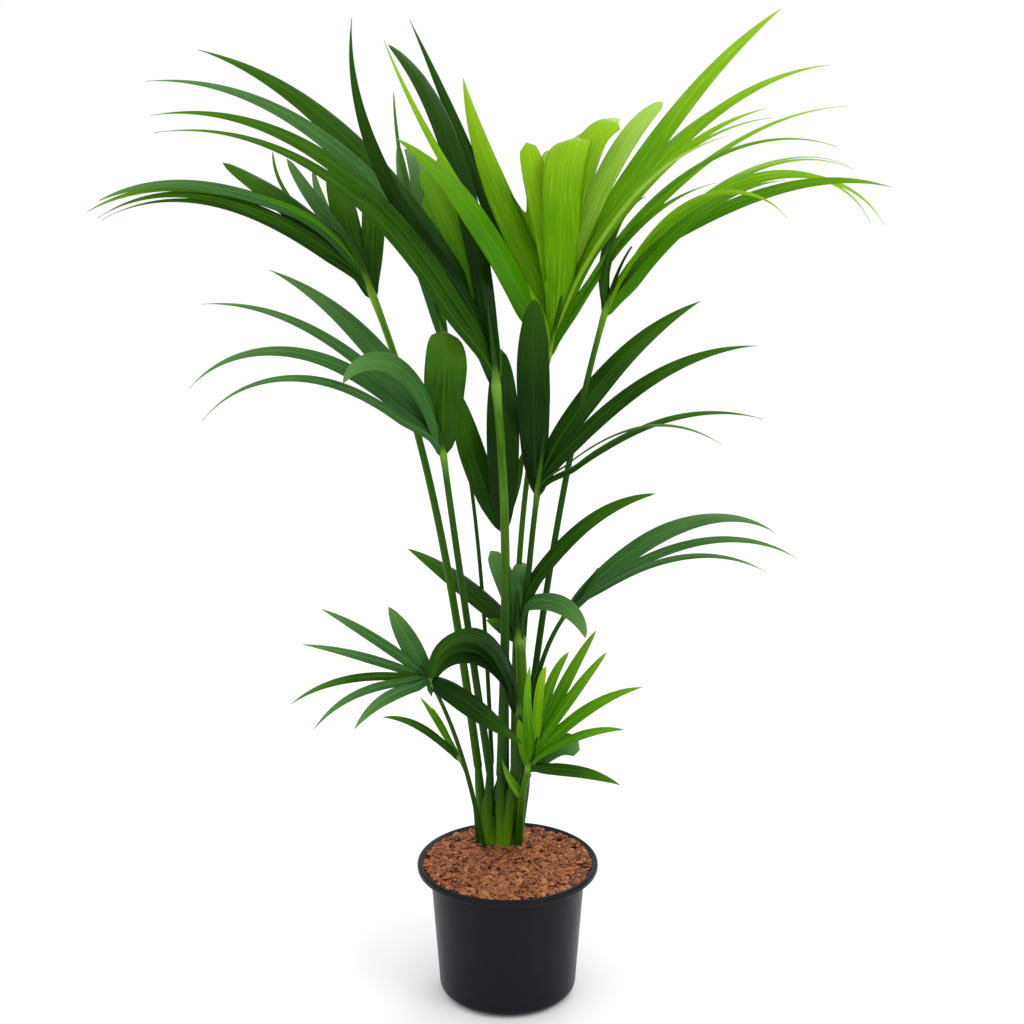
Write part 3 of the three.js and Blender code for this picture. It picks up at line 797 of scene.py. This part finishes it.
def buildFrond(name, frond):
    petiole, rachis = frond["petiole"], frond["rachis"]
    neck = toward(*petiole["neck"])
    foot = Vector(frond["foot"]) * mm
    rise, tip = toward(*petiole["rise"]), toward(*rachis["tip"])
    parts = {"petiole": grow(foot, rise, neck, petiole["length"] * mm, stalk["petioleSteps"])}
    start = parts["petiole"][-1]
    parts["rachis"] = grow(start, neck, tip, rachis["length"] * mm, stalk["rachisSteps"])
    depth = stalk["mixDepth"] if frond["foot"][2] < stalk["mixBelow"] else stalk["sheathDepth"]
    path = [foot - up * (depth * mm)] + parts["petiole"] + parts["rachis"][1:]
    split = len(parts["petiole"]) / (len(path) - 1)
    footRadius = petiole["thick"] / 2 + stalk["swell"]
    neckRadius = petiole["thick"] * stalk["neckShare"]

    def radius(share, angle):
        if share < split:
            size = mix(footRadius, neckRadius, share / split)
        else:
            size = mix(neckRadius, stalk["tipRadius"], (share - split) / (1 - split))
        size *= 1 + stalk["neckKnob"] * math.exp(-(((share - split) / stalk["neckReach"]) ** 2))
        groove = stalk["groove"] * math.exp(-((angle / stalk["grooveWidth"]) ** 2))
        return size * (1 - groove + stalk["ridgeDepth"] * math.cos(stalk["ridges"] * angle))

    # 0 at the foot, 1 at the neck and 2 at the tip
    def outward(share):
        return share / split if share < split else 1 + (share - split) / (1 - split)

    bm = bmesh.new()
    addTube(bm, path, stalk["sides"], toward(*blade["face"]), radius, outward)
    newPiece(name + "_stalk", bm, [rind[petiole["rind"]]], [name + "_rib"])

    bm = bmesh.new()
    grown = [addLeaflet(bm, parts, row, petiole) for row in frond["leaflets"]]
    for left, right, stations, tone in frond.get("webs", []):
        addWeb(bm, grown[left], grown[right], stations, tone)
    nodes = [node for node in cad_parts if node.startswith(name + "_leaflets_")]
    piece = newPiece(name + "_leaves", bm, list(leaf.values()), nodes)
    thicken(piece, blade["thickness"], 0)


for name, frond in fronds.items():
    buildFrond(name, frond)
print("fronds grown")

# ---- stems

stems = {
    "left": {
        "middle": (-31, 60),
        "spread": 8,
        "fronds": ["outer_left_frond", "rear_left_frond", "middle_left_frond"],
    },
    "middle": {
        "middle": (-10, 53),
        "spread": 8.5,
        "fronds": ["front_left_frond", "middle_right_frond", "inner_frond", "lower_inner_frond"],
    },
    "right": {
        "middle": (9, 61),
        "spread": 8,
        "fronds": ["lime_frond", "outer_right_frond", "lower_right_frond", "folded_frond"],
    },
}
sheath = {
    "sides": 20,
    "steps": 40,
    "bottom": 198,
    "huddle": 0.6,
    "wall": 1,
    "taper": 0.8,
    "mouth": 0.72,  # from this share up it closes on its petiole, and ends just inside it
    "mouthShare": 0.9,
    "ridges": 9,
    "ridgeDepth": 0.035,
    "seam": 0.12,
    "seamWidth": 0.18,
    "seamTurn": 1.2,
}

# half sheaths of old fronds, each with a pointed top. Columns: x and y of its middle, radius, the way
# it faces, height, how far its tip stands out
oldSheaths = [
    (-31, 60, 10.2, -110, 92, 1.5),
    (-22, 55, 9.5, -80, 58, 1),
    (-10, 53, 11, -100, 128, 1),
    (-1, 57, 9.5, -85, 74, 1.5),
    (9, 61, 10.4, -62, 108, 1.5),
    (8, 58, 9.5, -100, 50, 1),
    (-31, 61, 10.2, 100, 70, 1.5),
    (-18, 59, 9.5, 85, 105, 1),
    (-4, 61, 10, 95, 62, 1),
    (9, 62, 10.4, 70, 90, 1.5),
]
halfSheath = {
    "steps": 18,
    "columns": 12,
    "bottom": 202,
    "thickness": 0.8,
    "opening": 112,  # degrees that each half wraps round at the foot
    "narrowing": 2.4,
    "tipOpening": 0.03,
    "tipTurn": 6,
    "taper": 0.16,
    "ridges": 9,
    "ridgeHeight": 0.25,
    "outward": 0.75,
    "lightFrom": 80,  # the taller ones are lighter
}

# a pale bract that leans across the front of the clump
bract = {
    "foot": (24, 15, 300),
    "heading": -171,
    "rise": 58,
    "tipRise": 76,
    "length": 76,
    "width": 13,
    "widest": 0.35,
    "fold": 0.5,
    "steps": 14,
    "columns": 6,
    "outward": -0.8,
}


def buildStem(name, stem):
    bm = bmesh.new()
    for count, frondName in enumerate(stem["fronds"]):
        frond = fronds[frondName]
        top = Vector(frond["foot"])
        lean = Vector((top.x - stem["middle"][0], top.y - stem["middle"][1]))
        if lean.length > stem["spread"]:
            lean = lean.normalized() * stem["spread"]
        lean *= sheath["huddle"]
        base = Vector((stem["middle"][0] + lean.x, stem["middle"][1] + lean.y, sheath["bottom"]))
        steps = sheath["steps"]
        path = [base.lerp(top, i / steps) * mm for i in range(steps + 1)]
        petioleRadius = frond["petiole"]["thick"] / 2
        topRadius = petioleRadius + sheath["wall"]
        margin = dice.uniform(-2, 2)

        def radius(share, angle):
            size = mix(stem["spread"], topRadius, share ** sheath["taper"])
            closing = clamp((share - sheath["mouth"]) / (1 - sheath["mouth"]))
            smooth = closing * closing * (3 - 2 * closing)
            size = mix(size, petioleRadius * sheath["mouthShare"], smooth)
            ridge = sheath["ridgeDepth"] * math.cos(sheath["ridges"] * angle + count)
            off = (angle - margin - sheath["seamTurn"] * share) / sheath["seamWidth"]
            seam = sheath["seam"] * math.exp(-(off**2))
            return size * (1 + (ridge + seam) * (1 - closing))

        tone = rindOrder.index(frond["petiole"]["rind"])
        addTube(bm, path, sheath["sides"], Vector((0, -1, 0)), radius, lambda share: share - 1, tone)
    newPiece(name + "_sheaths", bm, list(rind.values()), [name + "_stem"])


def addHalfSheath(bm, row):
    x, y, size, facing, height, flare = row
    foot = Vector((x, y, halfSheath["bottom"]))
    steps = halfSheath["steps"]
    path = [(foot + up * (height * i / steps)) * mm for i in range(steps + 1)]
    turn = dice.uniform(-halfSheath["tipTurn"], halfSheath["tipTurn"])

    def place(column, station):
        share = station / steps
        half = math.radians(halfSheath["opening"]) * (1 - share ** halfSheath["narrowing"])
        angle = column * max(half, halfSheath["tipOpening"])
        spoke = toward(facing + turn * share + math.degrees(angle), 0)
        ridge = halfSheath["ridgeHeight"] * math.cos(halfSheath["ridges"] * angle)
        out = size * (1 - halfSheath["taper"] * share) + flare * share**3 + ridge
        where = path[station] + spoke * (out * mm)
        spot = (angle * out * millimetre, share * height * millimetre)
        return where, spot, halfSheath["outward"] * share - 1

    tone = "light" if height > halfSheath["lightFrom"] else "mid"
    clothe(bm, halfSheath["columns"], steps, place, rindOrder.index(tone))


def addBract(bm):
    foot = Vector(bract["foot"]) * mm
    steps = bract["steps"]
    first = toward(bract["heading"], bract["rise"])
    last = toward(bract["heading"], bract["tipRise"])
    path = grow(foot, first, last, bract["length"] * mm, steps)

    def place(column, station):
        share = station / steps
        tangent = heading(path, station)
        normal = across(toward(*blade["face"]), tangent)
        half = leafWidth(share, bract["width"], bract["widest"]) / 2
        side = tangent.cross(normal)
        sink = bract["fold"] * half * abs(column)
        where = path[station] + (side * (column * half) - normal * sink) * mm
        spot = (column * half * millimetre, share * bract["length"] * millimetre)
        return where, spot, bract["outward"]

    clothe(bm, bract["columns"], steps, place, rindOrder.index("light"))


def buildStemFoot():
    bm = bmesh.new()
    for row in oldSheaths:
        addHalfSheath(bm, row)
    addBract(bm)
    piece = newPiece("old_sheaths", bm, list(rind.values()), [])
    thicken(piece, halfSheath["thickness"], -1)


for name, stem in stems.items():
    buildStem(name, stem)
buildStemFoot()
print("stems sheathed")

# ---- pot

pot = {
    "height": 209,
    "rimRadius": 135,
    "lipDrop": 11,
    "lipRoll": 4.5,
    "lipRound": 3,
    "lipSlope": [(9, 4.2), (3, 7)],  # inside the lip: out from the shoulder, down from the top
    "shoulderRadius": 115.5,
    "shoulderRound": 4,
    "seat": 1.2,
    "seatRound": 3.8,
    "baseRadius": 103,
    "heel": 16,  # the height of the wall's rounded foot
    "undersideRadius": 90,
    "edge": 2,
    "edgeRise": 0.3,
    "wall": 2.6,
    "floor": 4,
    "spinSteps": 128,
    "drainHoles": 6,
    "drainRadius": 6,
    "drainCircle": 62,
    "drillSides": 24,
    "drillLength": 20,
    "sharpFrom": 40,
}


# points on an arc, between two directions in degrees
def arc(centre, size, first, last, steps):
    turns = [math.radians(mix(first, last, i / steps)) for i in range(steps + 1)]
    return [(centre[0] + size * math.cos(t), centre[1] + size * math.sin(t)) for t in turns]


# turns a profile, in millimetres out and up, round the vertical axis
def spun(profile, steps):
    bm = bmesh.new()
    verts = [bm.verts.new((x * mm, 0, z * mm)) for x, z in profile]
    edges = [bm.edges.new(pair) for pair in zip(verts, verts[1:])]
    bmesh.ops.spin(
        bm,
        geom=verts + edges,
        cent=(0, 0, 0),
        axis=(0, 0, 1),
        angle=2 * math.pi,
        steps=steps,
        use_merge=True,
    )
    bmesh.ops.remove_doubles(bm, verts=bm.verts, dist=0.01 * mm)
    return bm


# the outside runs from the middle of the underside up the wall and round the lip, and the inside back
# down to the middle of the floor
def potProfile():
    top, base, shoulder, rim = pot["height"], pot["baseRadius"], pot["shoulderRadius"], pot["rimRadius"]
    heel, heelRound, lipRound = pot["heel"], pot["heel"] - pot["edge"], pot["lipRound"]
    shoulderRound, roll = pot["shoulderRound"], pot["lipRoll"]
    lipFoot = top - pot["lipDrop"]
    outer = [(0, 0), (pot["undersideRadius"] - pot["edge"], 0), (pot["undersideRadius"], pot["edgeRise"])]
    outer += arc((base - heelRound, heel), heelRound, -62, 0, 10)
    outer += [(shoulder, lipFoot - lipRound)]
    outer += arc((shoulder + shoulderRound, lipFoot - lipRound), shoulderRound, 180, 95, 6)
    outer += arc((rim - lipRound, lipFoot + lipRound), lipRound, -80, 0, 5)
    outer += arc((rim - roll, top - roll), roll, 0, 100, 8)
    inner = [(shoulder + out, top - down) for out, down in pot["lipSlope"]]
    inner += arc((shoulder + pot["seat"], lipFoot - lipRound), pot["seatRound"], 95, 180, 5)
    inner += arc((base - heelRound, heel + 1), heelRound - pot["wall"], 0, -80, 8)
    return outer + inner + [(0, pot["floor"])]


def buildPot():
    bm = spun(potProfile(), pot["spinSteps"])
    bmesh.ops.recalc_face_normals(bm, faces=bm.faces)
    piece = newPiece("pot_shell", bm, [mouldedPolypropylene()], ["pot"])
    drills = bmesh.new()
    for i in range(pot["drainHoles"]):
        angle = (i + 0.5) * 2 * math.pi / pot["drainHoles"]
        drill = bmesh.ops.create_cone(
            drills,
            cap_ends=True,
            segments=pot["drillSides"],
            radius1=pot["drainRadius"] * mm,
            radius2=pot["drainRadius"] * mm,
            depth=pot["drillLength"] * mm,
        )["verts"]
        spot = Vector((math.cos(angle), math.sin(angle), 0)) * (pot["drainCircle"] * mm)
        bmesh.ops.translate(drills, verts=drill, vec=spot)
    cutter = addObject("drills", meshFrom("drills", drills))
    cut = piece.modifiers.new("drain holes", "BOOLEAN")
    cut.operation = "DIFFERENCE"
    cut.object = cutter
    bpy.context.view_layer.update()
    drilled = bpy.data.meshes.new_from_object(piece.evaluated_get(bpy.context.evaluated_depsgraph_get()))
    piece.modifiers.clear()
    piece.data = drilled
    bpy.data.objects.remove(cutter)
    for edge in drilled.edges:
        edge.use_edge_sharp = False
    drilled.set_sharp_from_angle(angle=math.radians(pot["sharpFrom"]))


buildPot()
print("pot moulded")

# ---- potting mix

mixture = {
    "edgeRadius": 125.5,
    "edgeHeight": 205.5,
    "top": 208,
    "mound": 3,  # the mix is heaped a little round the stems
    "moundPlace": (-8, 58),
    "moundReach": 42,
    "lumpSize": 22,
    "lumpHeight": 1.6,
    "crumbSize": 7,
    "bedDrop": 2,
    "side": [(121.5, 202.6), (117.6, 200.3), (114.2, 196.4), (113.4, 194), (100.6, 18), (97, 9.4), (88, 4.4)],
    "rings": 60,
    "spinSteps": 160,
    "chips": 3000,
    "chipEdge": 2,  # how far from the wall their middles stay
    "chipLength": (7, 19),
    "chipShorter": (0.7, 1),
    "chipWide": (0.45, 0.8),
    "chipThick": (0.12, 0.26),
    "chipTilt": 0.3,
    "chipRise": (-1.5, 0.8),
    "chipJolt": [(0.75, 1.2), (0.75, 1.2), (0.7, 1.2)],
}
# the bed seen in the gaps between the chips: dark brown fines, darkened further by painted shade in the gaps
shadedFines = ("chippedBarkShadedFines", "#4c2a1a", "#2a160d")

# name, body, pores, how many of the chips
chipTones = [
    ("chippedBarkRed", "#a8683f", "#7d4629", 5),
    ("chippedBarkBrown", "#945839", "#693a23", 4),
    ("chippedBarkPale", "#bd8056", "#8e5636", 2),
    ("chippedBarkOld", "#6d4029", "#462516", 2),
]


def mixHeight(x, y):
    far = math.hypot(x, y) / mixture["edgeRadius"]
    lump, crumb = mixture["lumpSize"], mixture["crumbSize"]
    bumps = noise.noise(Vector((x / lump, y / lump, 3.1))) * mixture["lumpHeight"]
    bumps += noise.noise(Vector((x / crumb, y / crumb, 8.2)))
    away = math.dist((x, y), mixture["moundPlace"]) / mixture["moundReach"]
    heaped = mixture["mound"] * math.exp(-away * away)
    return mix(mixture["top"], mixture["edgeHeight"], far**3) + heaped + bumps * (1 - 0.5 * far)


def buildBed():
    top = [(i * mixture["edgeRadius"] / mixture["rings"], 0) for i in range(mixture["rings"] + 1)]
    bm = spun(top + mixture["side"] + [(0, mixture["side"][-1][1])], mixture["spinSteps"])
    for vert in bm.verts:
        if vert.co.z == 0:  # the profile's top, which has no height yet
            height = mixHeight(vert.co.x / mm, vert.co.y / mm)
            vert.co.z = (height - mixture["bedDrop"]) * mm
    bmesh.ops.recalc_face_normals(bm, faces=bm.faces)
    newPiece("mix_bed", bm, [chippedBark(*shadedFines)], ["potting_mix"])


def buildChips():
    bm = bmesh.new()
    shades = [chippedBark(*tone[:3]) for tone in chipTones]
    shares = [tone[3] for tone in chipTones]
    for _ in range(mixture["chips"]):
        far = math.sqrt(dice.random()) * (mixture["edgeRadius"] - mixture["chipEdge"])
        turn = dice.uniform(0, 2 * math.pi)
        x, y = far * math.cos(turn), far * math.sin(turn)
        length = dice.uniform(*mixture["chipLength"]) * dice.uniform(*mixture["chipShorter"])
        wide = length * dice.uniform(*mixture["chipWide"])
        thick = length * dice.uniform(*mixture["chipThick"])
        chip = bmesh.ops.create_icosphere(bm, subdivisions=1, radius=0.5)["verts"]
        tilt = Quaternion((1, 0, 0), dice.gauss(0, mixture["chipTilt"]))
        tilt = tilt @ Quaternion((0, 1, 0), dice.gauss(0, mixture["chipTilt"]))
        spin = Quaternion(up, dice.uniform(0, 6.3))
        z = mixHeight(x, y) + dice.uniform(*mixture["chipRise"])
        tone = dice.choices(range(len(shades)), shares)[0]
        for vert in chip:
            jolt = Vector([dice.uniform(*span) for span in mixture["chipJolt"]])
            co = vert.co * jolt
            co = Vector((co.x * length, co.y * wide, co.z * thick))
            vert.co = (spin @ (tilt @ co) + Vector((x, y, z))) * mm
        for face in {face for vert in chip for face in vert.link_faces}:
            face.material_index = tone
    newPiece("mix_chips", bm, shades, [], smooth=False)


buildBed()
buildChips()
print("mix filled")

# ---- studio

studio = {
    "cameraPitch": 15.8,
    "focalPixels": 1911,
    "imageSide": 1024,
    "sight": 100,  # metres
    "floorRadius": 300,
    "floorSides": 96,
    "floorDrop": 0.4,
    "floorColour": "#fbfbfb",
    "floorRoughness": 0.9,
    "skyLevel": 0.72,
    "skyTop": 0.5,  # added straight overhead
}
lamps = {
    "key": {"place": (1.9, -1.6, 2.9), "aim": (0, 0, 1.0), "size": 1.6, "power": 26},
    "fill": {"place": (-2.6, -2.0, 1.8), "aim": (0, 0, 0.8), "size": 2.0, "power": 8},
    "back": {"place": (0.8, 2.2, 2.6), "aim": (0, 0, 1.1), "size": 1.6, "power": 16},
}


# the sky lights the plant, and is plain white where the camera sees it
def buildSky():
    world = bpy.data.worlds.new("studio")
    bpy.context.scene.world = world
    world.use_nodes = True
    tree = world.node_tree
    place = addNode(tree, "ShaderNodeTexCoord")
    height = addNode(tree, "ShaderNodeSeparateXYZ", links={"Vector": place.outputs["Generated"]})
    levels = (studio["skyLevel"], studio["skyLevel"] + studio["skyTop"])
    sky = ramp(tree, height.outputs["Z"], (0, 1), levels)
    eye = addNode(tree, "ShaderNodeLightPath").outputs["Is Camera Ray"]
    seen = addNode(tree, "ShaderNodeMix", {3: 1.0}, {0: eye, 2: sky})
    background = tree.nodes["Background"]
    background.inputs["Color"].default_value = linear("#ffffff")
    tree.links.new(seen.outputs[0], background.inputs["Strength"])


def buildFloor():
    bm = bmesh.new()
    sides = studio["floorSides"]
    bmesh.ops.create_circle(bm, cap_ends=True, segments=sides, radius=studio["floorRadius"])
    bmesh.ops.translate(bm, verts=bm.verts, vec=(0, 0, -studio["floorDrop"] * mm))
    material, tree = newMaterial("paintedFloor")
    colour = linear(studio["floorColour"])
    coat(tree, {"Base Color": colour, "Roughness": studio["floorRoughness"]}, {})
    floor = addObject("floor", meshFrom("floor", bm, [material]))


def buildLamps():
    for name, lamp in lamps.items():
        light = bpy.data.lights.new(name, "AREA")
        light.shape = "DISK"
        light.size = lamp["size"]
        light.energy = lamp["power"]
        holder = addObject(name, light)
        holder.location = lamp["place"]
        aim = Vector(lamp["aim"]) - Vector(lamp["place"])
        holder.rotation_euler = aim.to_track_quat("-Z", "Y").to_euler()


def buildCamera():
    camera = bpy.data.cameras.new("camera")
    camera.angle = 2 * math.atan(studio["imageSide"] / 2 / studio["focalPixels"])
    camera.clip_end = studio["sight"]
    holder = addObject("camera", camera)
    holder.location = viewer
    holder.rotation_euler = (math.radians(90 - studio["cameraPitch"]), 0, 0)
    bpy.context.scene.camera = holder
    bpy.context.scene.view_settings.view_transform = "Standard"


buildSky()
buildFloor()
buildLamps()
buildCamera()
print("studio lit")
